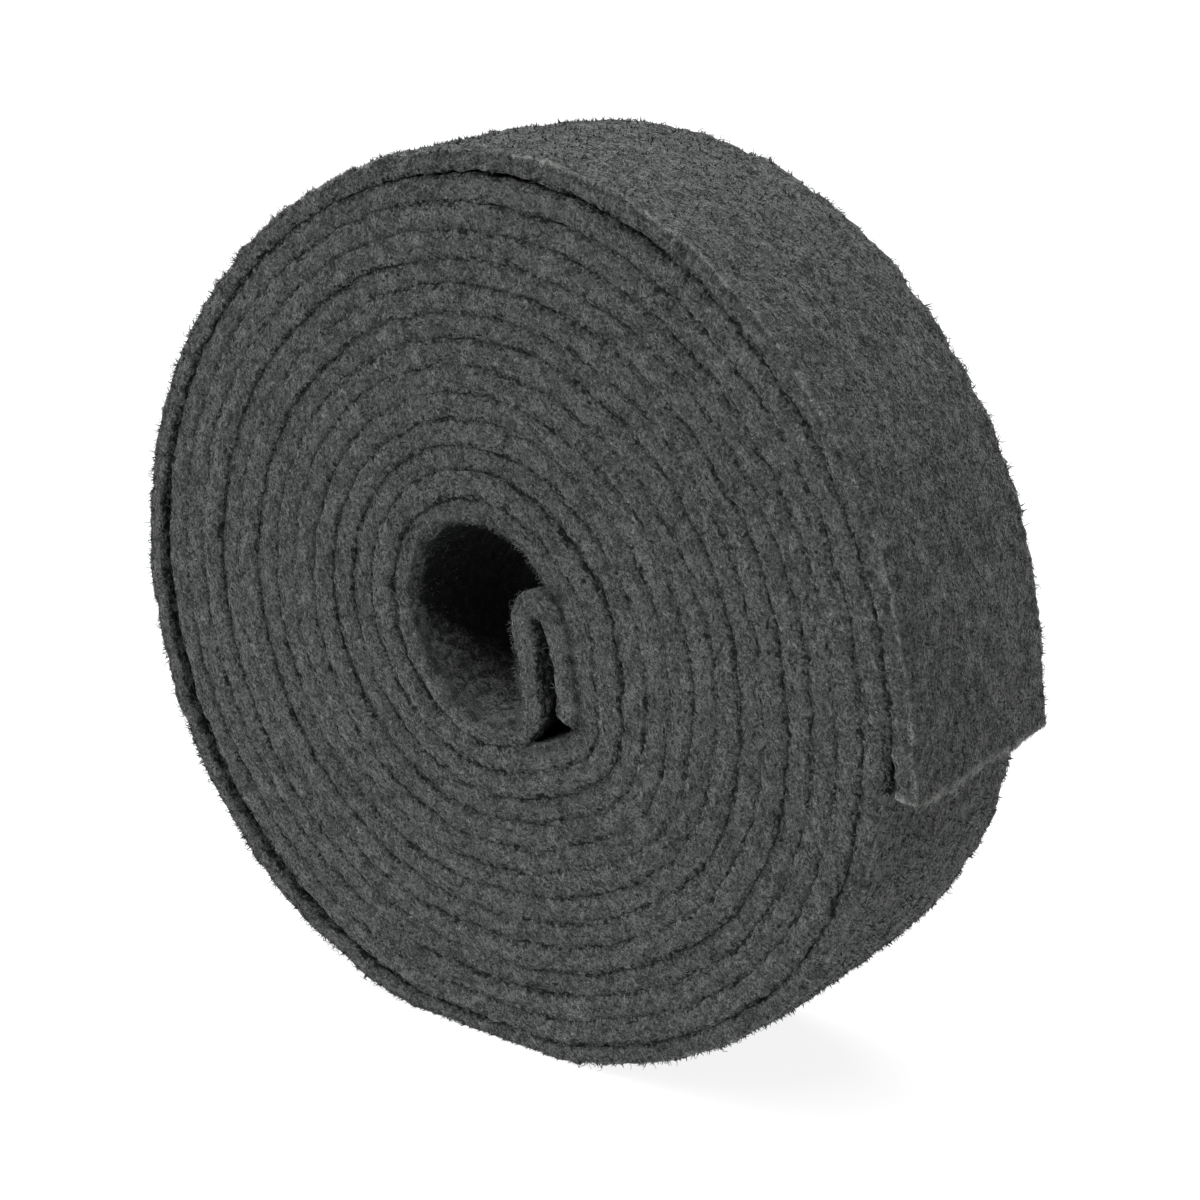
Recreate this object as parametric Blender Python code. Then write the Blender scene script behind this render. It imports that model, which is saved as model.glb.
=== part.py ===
"""Abrasive scuff roll: one long strip of non-woven web, wound up and standing on its rim.

Lengths are in metres, angles in degrees and places along the winding in turns. The roll's axis
lies along Y. Seen from its front end, X points right and Z up, a direction is measured
counter-clockwise from X, and the strip runs outwards clockwise.
"""

import math

import bmesh
import bpy

# The web
WEB_WIDTH = 0.100
WEB_THICKNESS = 0.0102
TURN_GAP = 0.0005
EDGE_CHAMFER = 0.0016

# The winding: it starts low at the right of the core and ends at the tail
TURNS = 13.812
START_DIRECTION = 285
CORE_RADIUS = 0.0356
CORE_OVAL = 0.0038
OVAL_DIRECTION = 115
DENT_DIRECTION = 127
DENT_SPREAD = 26
RIM_DENT = 0.0014

# The turns swell over the corner of the folded inner end
CORE_SWELLING = 0.009
CORE_SWELLING_DIRECTION = 323
CORE_SWELLING_SPREAD = 18
RIM_SWELLING = 0.0095
RIM_SWELLING_DIRECTION = 330
RIM_SWELLING_SPREAD = 31

# To the right of that corner the middle turns have a shoulder
SHOULDER = 0.005
SHOULDER_DIRECTION = 8
SHOULDER_SPREAD = 32

# The inner end is folded back on itself like a hairpin, and its end leg lies on the first turn
FOLD_SLIT = 0.0052
FOLD_CLEARANCE = 0.0004
FOLD_DIRECTION = 18
CUT_END_DIRECTION = 325
LONG_LEG_LEAN = 7

# The outer turn is drawn thinner, it bulges at the left and at the right, and its tail stands off
OUTER_TURN_THICKNESS = 0.0077
THINNING_FROM_TAIL = 1.04
THINNING_TURNS = 0.10
LEFT_BULGE = 0.0048
LEFT_BULGE_FROM_TAIL = 0.60
LEFT_BULGE_TURNS = 0.110
RIGHT_BULGE = 0.0020
RIGHT_BULGE_FROM_TAIL = 0.23
RIGHT_BULGE_TURNS = 0.075
TAIL_LIFT = 0.0028
TAIL_LIFT_TURNS = 0.014

# The roll's weight presses a flat spot into its rim
DOWN = 270
FLAT_HALF_LENGTH = 0.038
FLAT_DECAY_PER_TURN = 0.8

# How finely the faces are divided
STATIONS_PER_TURN = 36
FOLD_STEPS = 10
BEND_STEPS = 6
LEG_STEPS = 3
TANGENT_STEP = 0.001

# The web's finish
WEB_COLOUR = (0.062, 0.067, 0.065, 1.0)
WEB_ROUGHNESS = 0.95
CHAMFER_ANGLE = 60
SHARP_ANGLE = 40

TURN_PITCH = WEB_THICKNESS + TURN_GAP
# This brings the highest value of share * (1 - share) ** 2 to one
MIDDLE_PEAK = 27 / 4


def remove_all_objects():
    for thing in list(bpy.data.objects):
        bpy.data.objects.remove(thing, do_unlink=True)


def smooth_step(share):
    """A soft rise from 0 to 1 as share goes from 0 to 1."""
    share = min(max(share, 0.0), 1.0)
    return share * share * (3.0 - 2.0 * share)


def direction_at(turn):
    """The direction, in radians, in which a place on the winding lies from the axis."""
    return math.radians(START_DIRECTION) - math.tau * turn


def angle_between(direction, degrees):
    """The signed angle from a direction in degrees to one in radians."""
    difference = direction - math.radians(degrees)
    return math.remainder(difference, math.tau)


def point_at(direction, radius):
    """The point (x, z) at a radius from the axis."""
    return (radius * math.cos(direction), radius * math.sin(direction))


def between(core, rim, outward):
    """The value that runs from one at the core to another at the rim."""
    return core + (rim - core) * outward


def bump(height, distance, spread):
    """A rounded rise of some height, at a distance from its middle."""
    return height * math.exp(-(distance / spread) ** 2)


def winding_radius(turn):
    """The radius at which the strip's inner face would lie in a tight winding."""
    direction = direction_at(turn)
    outward = turn / TURNS
    oval = CORE_OVAL * (1.0 - outward) * math.cos(2.0 * angle_between(direction, OVAL_DIRECTION))
    off_dent = angle_between(direction, DENT_DIRECTION)
    dent = bump(RIM_DENT * outward, off_dent, math.radians(DENT_SPREAD))
    corner = between(CORE_SWELLING_DIRECTION, RIM_SWELLING_DIRECTION, outward)
    spread = between(CORE_SWELLING_SPREAD, RIM_SWELLING_SPREAD, outward)
    height = between(CORE_SWELLING, RIM_SWELLING, outward)
    swelling = bump(height, angle_between(direction, corner), math.radians(spread))
    height = SHOULDER * MIDDLE_PEAK * outward * (1.0 - outward) ** 2
    off_shoulder = angle_between(direction, SHOULDER_DIRECTION)
    shoulder = bump(height, off_shoulder, math.radians(SHOULDER_SPREAD))
    return CORE_RADIUS + TURN_PITCH * turn + oval - dent + swelling + shoulder


def slack(turn):
    """How far the outer turn stands off the turn inside it."""
    to_tail = TURNS - turn
    left = bump(LEFT_BULGE, to_tail - LEFT_BULGE_FROM_TAIL, LEFT_BULGE_TURNS)
    right = bump(RIGHT_BULGE, to_tail - RIGHT_BULGE_FROM_TAIL, RIGHT_BULGE_TURNS)
    return left + right + TAIL_LIFT * math.exp(-to_tail / TAIL_LIFT_TURNS)


def free_radii(turn):
    """The radii of the strip's inner and outer face, before the roll's weight acts."""
    inner = winding_radius(turn)
    thinning = smooth_step((turn - (TURNS - THINNING_FROM_TAIL)) / THINNING_TURNS)
    covered = winding_radius(turn + 1.0) - TURN_GAP
    outer = covered + thinning * (inner + OUTER_TURN_THICKNESS - covered)
    return inner + slack(turn), outer + slack(turn)


def outermost(turn):
    """The last place on the winding that lies in the same direction."""
    return turn + math.floor(TURNS - turn)


def axis_height():
    """The height of the roll's axis over its flat spot."""
    start_to_bottom = ((START_DIRECTION - DOWN) % 360) / 360
    bottom_radius = free_radii(outermost(start_to_bottom))[1]
    return math.sqrt(bottom_radius ** 2 - FLAT_HALF_LENGTH ** 2)


def sink(turn):
    """How far the rim is pressed in by the floor, in the direction of a place on the winding."""
    from_down = angle_between(direction_at(turn), DOWN)
    if math.cos(from_down) < 0.5:
        return 0.0
    rim_radius = free_radii(outermost(turn))[1]
    return max(0.0, rim_radius - axis_height() / math.cos(from_down))


def face_radii(turn):
    """The radii of the strip's inner and outer face in the standing roll."""
    inner, outer = free_radii(turn)
    turns_outside = math.floor(TURNS - turn)
    pressed = sink(turn) * FLAT_DECAY_PER_TURN ** turns_outside
    return inner - pressed * FLAT_DECAY_PER_TURN, outer - pressed


def spiral_stations():
    """Pairs of points on the strip's inner and outer face, from the core to the tail."""
    count = math.floor(TURNS * STATIONS_PER_TURN)
    turns = [number / STATIONS_PER_TURN for number in range(count + 1)]
    if TURNS - turns[-1] > TANGENT_STEP:
        turns.append(TURNS)
    stations = []
    for turn in turns:
        inner, outer = face_radii(turn)
        direction = direction_at(turn)
        stations.append((point_at(direction, inner), point_at(direction, outer)))
    return stations


def start_of_spiral():
    """The middle of the strip where the spiral starts, and the heading of the strip there."""
    middles = []
    for turn in (0.0, TANGENT_STEP):
        inner, outer = face_radii(turn)
        middles.append(point_at(direction_at(turn), (inner + outer) / 2))
    (start_x, start_z), (next_x, next_z) = middles
    return (start_x, start_z), math.atan2(next_z - start_z, next_x - start_x)


def station_across(x, z, heading):
    """The pair of points across the strip at a place on its middle line."""
    across_x = math.sin(heading) * WEB_THICKNESS / 2
    across_z = -math.cos(heading) * WEB_THICKNESS / 2
    return (x + across_x, z + across_z), (x - across_x, z - across_z)


def end_leg_place(turn):
    """A place on the end leg's middle line, and the leg's heading towards the fold."""
    x, z = point_at(direction_at(turn), face_radii(turn)[0])
    next_x, next_z = point_at(direction_at(turn - TANGENT_STEP), face_radii(turn - TANGENT_STEP)[0])
    heading = math.atan2(next_z - z, next_x - x)
    inset = FOLD_CLEARANCE + WEB_THICKNESS / 2
    return x - inset * math.sin(heading), z + inset * math.cos(heading), heading


def end_leg():
    """Stations from the strip's inner cut end to the fold, along the first turn's inner face."""
    cut_turn = ((START_DIRECTION - CUT_END_DIRECTION) % 360) / 360
    fold_turn = ((START_DIRECTION - FOLD_DIRECTION) % 360) / 360
    stations = []
    for number in range(LEG_STEPS):
        turn = cut_turn + (fold_turn - cut_turn) * number / LEG_STEPS
        stations.append(station_across(*end_leg_place(turn)))
    return stations, end_leg_place(fold_turn)


def arc(x, z, heading, radius, turning, steps):
    """Stations round an arc that starts at a place with a heading, and the place where it ends."""
    side = math.copysign(radius, turning)
    centre_x = x - side * math.sin(heading)
    centre_z = z + side * math.cos(heading)
    places = []
    for number in range(steps + 1):
        now = heading + turning * number / steps
        places.append((centre_x + side * math.sin(now), centre_z - side * math.cos(now), now))
    return [station_across(*place) for place in places[:-1]], places[-1]


def straight(x, z, heading, length, steps):
    """Stations along a straight stretch, and the place where it ends."""
    places = []
    for number in range(steps + 1):
        gone = length * number / steps
        places.append((x + gone * math.cos(heading), z + gone * math.sin(heading), heading))
    return [station_across(*place) for place in places[:-1]], places[-1]


def leg_and_bend_sizes(x, z, heading):
    """Length of the long leg, and radius and turning of the bend that leads it into the spiral."""
    (start_x, start_z), start_heading = start_of_spiral()
    turning = math.remainder(start_heading - heading, math.tau)
    gap_x, gap_z = start_x - x, start_z - z
    to_corner = (gap_x * math.sin(start_heading) - gap_z * math.cos(start_heading)) / math.sin(turning)
    from_corner = (gap_z * math.cos(heading) - gap_x * math.sin(heading)) / math.sin(turning)
    return to_corner - from_corner, from_corner / math.tan(abs(turning) / 2), turning


def folded_end_stations():
    """Pairs of points from the strip's inner cut end, round the fold, to the start of the spiral."""
    stations, place = end_leg()
    leg_heading = math.radians(DOWN + LONG_LEG_LEAN)
    fold_turning = (leg_heading - place[2]) % math.tau
    fold, place = arc(*place, (WEB_THICKNESS + FOLD_SLIT) / 2, fold_turning, FOLD_STEPS)
    leg_length, bend_radius, bend_turning = leg_and_bend_sizes(*place)
    long_leg, place = straight(*place, leg_length, LEG_STEPS)
    bend = arc(*place, bend_radius, bend_turning, BEND_STEPS)[0]
    return stations + fold + long_leg + bend


def web_material():
    material = bpy.data.materials.new("non_woven_web")
    material.use_nodes = True
    shader = material.node_tree.nodes["Principled BSDF"]
    shader.inputs["Base Color"].default_value = WEB_COLOUR
    shader.inputs["Roughness"].default_value = WEB_ROUGHNESS
    shader.inputs["Metallic"].default_value = 0.0
    return material


def strip_mesh(stations):
    """A ribbon of quads in the plane of the front end, extruded over the web's width."""
    ribbon = bmesh.new()
    front = -WEB_WIDTH / 2
    rows = [[ribbon.verts.new((x, front, z)) for x, z in station] for station in stations]
    for (inner, outer), (next_inner, next_outer) in zip(rows, rows[1:]):
        ribbon.faces.new((inner, next_inner, next_outer, outer))
    swept = bmesh.ops.extrude_face_region(ribbon, geom=ribbon.faces[:])
    moved = [item for item in swept["geom"] if isinstance(item, bmesh.types.BMVert)]
    bmesh.ops.translate(ribbon, verts=moved, vec=(0.0, WEB_WIDTH, 0.0))
    bmesh.ops.recalc_face_normals(ribbon, faces=ribbon.faces[:])
    mesh = bpy.data.meshes.new("wound_strip")
    ribbon.to_mesh(mesh)
    ribbon.free()
    return mesh


def chamfer_edges(strip):
    chamfer = strip.modifiers.new("edge_chamfer", "BEVEL")
    chamfer.limit_method = "ANGLE"
    chamfer.angle_limit = math.radians(CHAMFER_ANGLE)
    chamfer.width = EDGE_CHAMFER
    chamfer.segments = 1


def make_wound_strip():
    stations = folded_end_stations() + spiral_stations()
    mesh = strip_mesh(stations)
    mesh.shade_smooth()
    mesh.set_sharp_from_angle(angle=math.radians(SHARP_ANGLE))
    strip = bpy.data.objects.new("wound_strip", mesh)
    strip.location = (0.0, 0.0, axis_height())
    strip.data.materials.append(web_material())
    bpy.context.scene.collection.objects.link(strip)
    chamfer_edges(strip)


remove_all_objects()
make_wound_strip()
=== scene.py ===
"""An abrasive scuff roll, dressed for a plain studio picture.

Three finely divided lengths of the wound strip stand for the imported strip, with loose fibres on
their faces and edges. Lengths are in metres, angles in degrees and places along the winding in
turns. The roll's axis lies along Y. Seen from its front end, X points right and Z up, a direction
is measured counter-clockwise from X, and the strip runs outwards clockwise.
"""

import math
from typing import NamedTuple

import bpy
import numpy as np
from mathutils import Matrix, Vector


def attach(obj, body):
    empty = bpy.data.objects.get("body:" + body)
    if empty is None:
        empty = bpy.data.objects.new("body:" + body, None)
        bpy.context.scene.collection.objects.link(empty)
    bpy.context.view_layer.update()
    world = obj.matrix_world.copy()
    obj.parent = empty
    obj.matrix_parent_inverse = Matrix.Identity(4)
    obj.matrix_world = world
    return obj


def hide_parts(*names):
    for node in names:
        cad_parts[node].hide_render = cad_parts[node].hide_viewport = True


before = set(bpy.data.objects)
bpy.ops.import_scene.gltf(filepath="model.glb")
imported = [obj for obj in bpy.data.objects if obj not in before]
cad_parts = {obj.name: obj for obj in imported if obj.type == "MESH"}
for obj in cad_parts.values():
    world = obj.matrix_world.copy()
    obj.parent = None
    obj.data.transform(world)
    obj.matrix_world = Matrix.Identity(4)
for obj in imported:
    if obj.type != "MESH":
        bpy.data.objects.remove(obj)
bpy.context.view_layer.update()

# The web and the winding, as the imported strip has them
WEB_WIDTH = 0.100
WEB_THICKNESS = 0.0102
TURN_GAP = 0.0005
TURN_PITCH = WEB_THICKNESS + TURN_GAP
TURNS = 13.812
START_DIRECTION = 285
CORE_RADIUS = 0.0356
CORE_OVAL = 0.0038
OVAL_DIRECTION = 115
DENT_DIRECTION = 127
DENT_SPREAD = 26
RIM_DENT = 0.0014
CORE_SWELLING = 0.009
CORE_SWELLING_DIRECTION = 323
CORE_SWELLING_SPREAD = 18
RIM_SWELLING = 0.0095
RIM_SWELLING_DIRECTION = 330
RIM_SWELLING_SPREAD = 31
SHOULDER = 0.005
SHOULDER_DIRECTION = 8
SHOULDER_SPREAD = 32
MIDDLE_PEAK = 27 / 4
FOLD_SLIT = 0.0052
FOLD_CLEARANCE = 0.0004
FOLD_DIRECTION = 18
CUT_END_DIRECTION = 325
LONG_LEG_LEAN = 7
OUTER_TURN_THICKNESS = 0.0077
THINNING_FROM_TAIL = 1.04
THINNING_TURNS = 0.10
LEFT_BULGE = 0.0048
LEFT_BULGE_FROM_TAIL = 0.60
LEFT_BULGE_TURNS = 0.110
RIGHT_BULGE = 0.0020
RIGHT_BULGE_FROM_TAIL = 0.23
RIGHT_BULGE_TURNS = 0.075
TAIL_LIFT = 0.0028
TAIL_LIFT_TURNS = 0.014
DOWN = 270
FLAT_HALF_LENGTH = 0.038
FLAT_DECAY_PER_TURN = 0.8
TANGENT_STEP = 0.0002

# How the strip is cut into pieces and divided
FINE_STEPS_PER_TURN = 1200
FINE_BEND_STEPS = 80
CORE_PIECE_TURNS = 1.1
OUTER_PIECE_TURNS = 12.55
CORE_STATION = 0.0016
TURN_STATION = 0.0021
RIM_STATION = 0.0018
END_STATION = 0.0003
CORE_WALL_QUADS = 40
INNER_WALL_QUADS = 1
RIM_WALL_QUADS = 42
CORNER_ANGLES = (0.0, math.pi / 4, math.pi / 2)
FACE_FRACTIONS = (0.2, 0.4, 0.6, 0.8)
FACE_QUADS = 2 * len(CORNER_ANGLES) + len(FACE_FRACTIONS) - 1

# Worn corners; painted shade in the crevices between the turns and where walls are sheltered from light;
# paler fraying with a painted highlight along the outer turn's edges and cut end
CORNER_LEAST = 0.0002
CORNER_MOST = 0.00088
CORNER_CONTRAST = 0.45
CORNER_SKEW = 1.8
CORE_WORN = 1.5
CORE_WORN_TURNS = 3.0
RIM_WORN = 1.0
LOOSE_TURNS = 2.0
CREVICE_REACH = 0.0019
RIM_CREVICE = 1.4
CORE_CREVICE = 1.3
CORE_CREVICE_TURNS = 3.0
FRAY_HIGHLIGHT_REACH = 0.0012
FRAY_HIGHLIGHT_LEAST = 0.30
FRAY_HIGHLIGHT_TURNS = 0.28
FRAY_HIGHLIGHT_TURN_BEFORE = 0.5
FRAY_HIGHLIGHT_END_REACH = 0.0026
SHELTER_REACH = 0.010
LIT_SHELTER_REACH = 0.075
WALL_FACING = 0.99

# The surface's slow bulges
WALL_PRESS = 0.00045
RIM_CROWN = 0.0016
RIM_CROWN_RISE = 0.05
FACE_CROWN = 0.0005
CUT_END_CROWN = 0.0003
CROWN_POWER = 3
TAIL_BOW = 0.0017
TAIL_BOW_PLACE = -0.035
TAIL_BOW_WIDTH = 0.018
TAIL_BOW_RUN = 0.030
FLOOR_CLEARANCE = 0.0002

# Noise: the cell and the height of each layer
CORNER_WAVES = ((0.011, 1.0), (0.0042, 0.9))
RELIEF = ((0.0021, 0.00042), (0.0045, 0.00034), (0.014, 0.00030))
WANDER = ((0.0042, 0.00055), (0.0095, 0.00070))
TELESCOPING = ((0.31, 0.0009), (0.06, 0.0004))
NOISE_TABLE = 65536
NOISE_STEPS = (73856093, 19349663, 83492791)
SEED = 71
CORNER_SEED_STEP = 10
RELIEF_SEED = SEED + 100
TELESCOPING_SEED = SEED + 200
FIBRE_SEED = SEED + 300
WANDER_SEED = SEED + 400


class FibreKind(NamedTuple):
    """How one kind of fibre lies: ranges of length and rise, share with a free end, and spread of
    heading off the winding, in radians."""

    length: tuple
    rise: tuple
    free_share: float
    spread: float


# The loose fibres
FACE_KIND = FibreKind((0.0015, 0.0042), (0.0003, 0.0012), 0.35, 0.9)
RIM_KIND = FibreKind((0.0022, 0.0055), (0.0004, 0.0010), 0.2, 1.6)
FACE_EDGE_KIND = FibreKind((0.0015, 0.0040), (0.0004, 0.0014), 0.5, 1.3)
RIM_EDGE_KIND = FibreKind((0.0010, 0.0035), (0.0004, 0.0013), 0.6, 1.3)
HOLE_EDGE_KIND = FibreKind((0.0010, 0.0026), (0.0005, 0.0014), 0.6, 1.3)
HOLE_WALL_KIND = FibreKind((0.0008, 0.0028), (0.0005, 0.0017), 0.7, 1.3)
TAIL_KIND = FibreKind((0.0008, 0.0022), (0.0001, 0.0006), 0.5, 1.4)
FACE_FIBRE_RADII = (0.00011, 0.00021)
RIM_FIBRE_RADII = (0.00010, 0.00018)
EDGE_FIBRE_RADII = (0.00012, 0.00023)
TAIL_FIBRE_RADII = (0.00012, 0.00022)
FRONT_FIBRES = 12000
BACK_FIBRES = 5200
RIM_FIBRES = 6000
EDGE_FIBRES = 850
FRONT_HOLE_FIBRES = 1500
BACK_HOLE_FIBRES = 500
TAIL_FIBRES = 1100
FIBRE_SEGMENTS = 3
SHORT_FIBRE_SEGMENTS = 2
FIBRE_SUNK = 0.0002
FIBRE_TIP = 0.45
FIBRE_BEND = 0.22
FIBRE_CLIMB = 1.4
FUZZY_TURNS = 1.02
FACE_MARGIN = 0.02
RIM_MARGIN = 0.01
FACE_EDGE_SHARE = 0.22
RIM_EDGE_SHARE = 0.03
HOLE_EDGE_SHARE = 0.25
HOLE_WALL_SHARE = 0.30
FRINGE_RUN = 0.0011
NO_FIBRE_WAY = np.array((0.31, 0.53, 0.79))

# The bristles
RIM_BRISTLES = 24000
EDGE_BRISTLES = 2500
BRISTLE_LEAST = 0.0004
BRISTLE_MOST = 0.0024
BRISTLE_LEAST_RADIUS = 0.00018
BRISTLE_MOST_RADIUS = 0.00055
BRISTLE_SKEW = 3
BRISTLE_LEAN = 0.5
BRISTLE_EDGE_SHARE = 0.25


def smooth_step(share):
    """A soft rise from 0 to 1 as share goes from 0 to 1."""
    share = np.clip(share, 0.0, 1.0)
    return share * share * (3.0 - 2.0 * share)


def direction_at(turn):
    """The direction, in radians, in which a place on the winding lies from the axis."""
    return math.radians(START_DIRECTION) - math.tau * turn


def angle_between(direction, degrees):
    """The signed angle from a direction in degrees to one in radians."""
    return (direction - np.radians(degrees) + math.pi) % math.tau - math.pi


def points_at(direction, radius):
    """The points (x, z) at radii from the axis."""
    return np.stack((radius * np.cos(direction), radius * np.sin(direction)), axis=-1)


def between(start, end, share):
    """The value a share of the way from one to another."""
    return start + (end - start) * share


def bump(height, distance, spread):
    """A rounded rise of some height, at a distance from its middle."""
    return height * np.exp(-(distance / spread) ** 2)


def winding_radius(turn):
    """The radius at which the strip's inner face would lie in a tight winding."""
    direction = direction_at(turn)
    outward = turn / TURNS
    oval = CORE_OVAL * (1.0 - outward) * np.cos(2.0 * angle_between(direction, OVAL_DIRECTION))
    off_dent = angle_between(direction, DENT_DIRECTION)
    dent = bump(RIM_DENT * outward, off_dent, math.radians(DENT_SPREAD))
    corner = between(CORE_SWELLING_DIRECTION, RIM_SWELLING_DIRECTION, outward)
    spread = between(CORE_SWELLING_SPREAD, RIM_SWELLING_SPREAD, outward)
    height = between(CORE_SWELLING, RIM_SWELLING, outward)
    swelling = bump(height, angle_between(direction, corner), np.radians(spread))
    height = SHOULDER * MIDDLE_PEAK * outward * (1.0 - outward) ** 2
    off_shoulder = angle_between(direction, SHOULDER_DIRECTION)
    shoulder = bump(height, off_shoulder, math.radians(SHOULDER_SPREAD))
    return CORE_RADIUS + TURN_PITCH * turn + oval - dent + swelling + shoulder


def slack(turn):
    """How far the outer turn stands off the turn inside it."""
    to_tail = TURNS - turn
    left = bump(LEFT_BULGE, to_tail - LEFT_BULGE_FROM_TAIL, LEFT_BULGE_TURNS)
    right = bump(RIGHT_BULGE, to_tail - RIGHT_BULGE_FROM_TAIL, RIGHT_BULGE_TURNS)
    return left + right + TAIL_LIFT * np.exp(-to_tail / TAIL_LIFT_TURNS)


def free_radii(turn):
    """The radii of the strip's inner and outer face, before the roll's weight acts."""
    inner = winding_radius(turn)
    thinning = smooth_step((turn - (TURNS - THINNING_FROM_TAIL)) / THINNING_TURNS)
    covered = winding_radius(turn + 1.0) - TURN_GAP
    outer = covered + thinning * (inner + OUTER_TURN_THICKNESS - covered)
    return inner + slack(turn), outer + slack(turn)


def outermost(turn):
    """The last place on the winding that lies in the same direction."""
    return turn + np.floor(TURNS - turn)


def axis_height():
    """The height of the roll's axis over its flat spot."""
    start_to_bottom = ((START_DIRECTION - DOWN) % 360) / 360
    bottom_radius = free_radii(outermost(start_to_bottom))[1]
    return math.sqrt(bottom_radius ** 2 - FLAT_HALF_LENGTH ** 2)


def sink(turn):
    """How far the rim is pressed in by the floor, in the direction of a place on the winding."""
    facing_floor = np.cos(angle_between(direction_at(turn), DOWN))
    low = facing_floor >= 0.5
    floor_radius = axis_height() / np.where(low, facing_floor, 1.0)
    rim_radius = free_radii(outermost(turn))[1]
    return np.where(low, np.maximum(0.0, rim_radius - floor_radius), 0.0)


def face_radii(turn):
    """The radii of the strip's inner and outer face in the standing roll."""
    inner, outer = free_radii(turn)
    pressed = sink(turn) * FLAT_DECAY_PER_TURN ** np.floor(TURNS - turn)
    return inner - pressed * FLAT_DECAY_PER_TURN, outer - pressed


def spiral_pairs():
    """Pairs of points on the strip's inner and outer face, from the core to the tail."""
    turn = np.linspace(0.0, TURNS, round(TURNS * FINE_STEPS_PER_TURN) + 1)
    inner, outer = face_radii(turn)
    direction = direction_at(turn)
    return np.stack((points_at(direction, inner), points_at(direction, outer)), axis=1)


def pairs_across(places):
    """The pairs of points across the strip at places (x, z, heading) on its middle line."""
    across = np.stack((np.sin(places[:, 2]), -np.cos(places[:, 2])), axis=1) * WEB_THICKNESS / 2
    middles = places[:, :2]
    return np.stack((middles + across, middles - across), axis=1)


def start_of_spiral():
    """The place (x, z, heading) on the strip's middle line where the spiral starts."""
    turn = np.array((0.0, TANGENT_STEP))
    inner, outer = face_radii(turn)
    start, after = points_at(direction_at(turn), (inner + outer) / 2)
    return start[0], start[1], math.atan2(after[1] - start[1], after[0] - start[0])


def end_leg():
    """Places from the strip's inner cut end to the fold, along the first turn's inner face."""
    ends = [((START_DIRECTION - at) % 360) / 360 for at in (CUT_END_DIRECTION, FOLD_DIRECTION)]
    turn = np.linspace(*ends, FINE_BEND_STEPS)
    here = points_at(direction_at(turn), face_radii(turn)[0])
    there = points_at(direction_at(turn - TANGENT_STEP), face_radii(turn - TANGENT_STEP)[0])
    heading = np.arctan2(there[:, 1] - here[:, 1], there[:, 0] - here[:, 0])
    inset = FOLD_CLEARANCE + WEB_THICKNESS / 2
    return np.stack(
        (here[:, 0] - inset * np.sin(heading), here[:, 1] + inset * np.cos(heading), heading), axis=1
    )


def arc(place, radius, turning):
    """Places round an arc that starts at a place."""
    x, z, heading = place
    side = math.copysign(radius, turning)
    now = heading + turning * np.linspace(0.0, 1.0, FINE_BEND_STEPS)
    centre_x = x - side * math.sin(heading)
    centre_z = z + side * math.cos(heading)
    return np.stack((centre_x + side * np.sin(now), centre_z - side * np.cos(now), now), axis=1)


def straight(place, length):
    """Places along a straight stretch that starts at a place."""
    x, z, heading = place
    gone = length * np.linspace(0.0, 1.0, FINE_BEND_STEPS)
    along = (x + gone * math.cos(heading), z + gone * math.sin(heading), np.full_like(gone, heading))
    return np.stack(along, axis=1)


def leg_and_bend_sizes(place):
    """Length of the long leg, and radius and turning of the bend that leads it into the spiral."""
    x, z, heading = place
    start_x, start_z, start_heading = start_of_spiral()
    turning = math.remainder(start_heading - heading, math.tau)
    gap_x, gap_z = start_x - x, start_z - z
    to_corner = (gap_x * math.sin(start_heading) - gap_z * math.cos(start_heading)) / math.sin(turning)
    from_corner = (gap_z * math.cos(heading) - gap_x * math.sin(heading)) / math.sin(turning)
    return to_corner - from_corner, from_corner / math.tan(abs(turning) / 2), turning


def folded_end_pairs():
    """Pairs of points from the strip's inner cut end, round the fold, to the start of the spiral."""
    leg = end_leg()
    leg_heading = math.radians(DOWN + LONG_LEG_LEAN)
    fold = arc(leg[-1], (WEB_THICKNESS + FOLD_SLIT) / 2, (leg_heading - leg[-1, 2]) % math.tau)
    leg_length, bend_radius, bend_turning = leg_and_bend_sizes(fold[-1])
    long_leg = straight(fold[-1], leg_length)
    bend = arc(long_leg[-1], bend_radius, bend_turning)
    return pairs_across(np.concatenate((leg[:-1], fold[:-1], long_leg[:-1], bend[:-1])))


def runs_of(pairs):
    """The length of the strip's middle line up to each pair."""
    steps = np.linalg.norm(np.diff(pairs.mean(axis=1), axis=0), axis=1)
    return np.concatenate(([0.0], np.cumsum(steps)))


def lattice_noise(places, cell, seed):
    """Smooth noise from -1 to 1 at places (n, 3), in lumps about a cell across."""
    table = np.random.default_rng(seed).uniform(-1.0, 1.0, NOISE_TABLE)
    scaled = places / cell
    low = np.floor(scaled).astype(np.int64)
    part = smooth_step(scaled - low)
    total = np.zeros(len(places))
    for corner in np.ndindex(2, 2, 2):
        steps = (low + np.array(corner)) * NOISE_STEPS
        key = steps[:, 0] ^ steps[:, 1] ^ steps[:, 2]
        weight = np.prod(np.where(corner, part, 1.0 - part), axis=1)
        total += weight * table[key % NOISE_TABLE]
    return total


def layered_noise(places, layers, seed):
    """The sum of layers of noise, each with its cell and height."""
    return sum(height * lattice_noise(places, cell, seed + number)
               for number, (cell, height) in enumerate(layers))


def on_line(run):
    """Runs as places for noise that changes only along the strip."""
    return np.stack((run, np.zeros_like(run), np.zeros_like(run)), axis=1)


def in_space(ways):
    """Directions (x, z) as directions (x, y, z)."""
    return np.stack((ways[:, 0], np.zeros(len(ways)), ways[:, 1]), axis=1)


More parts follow.
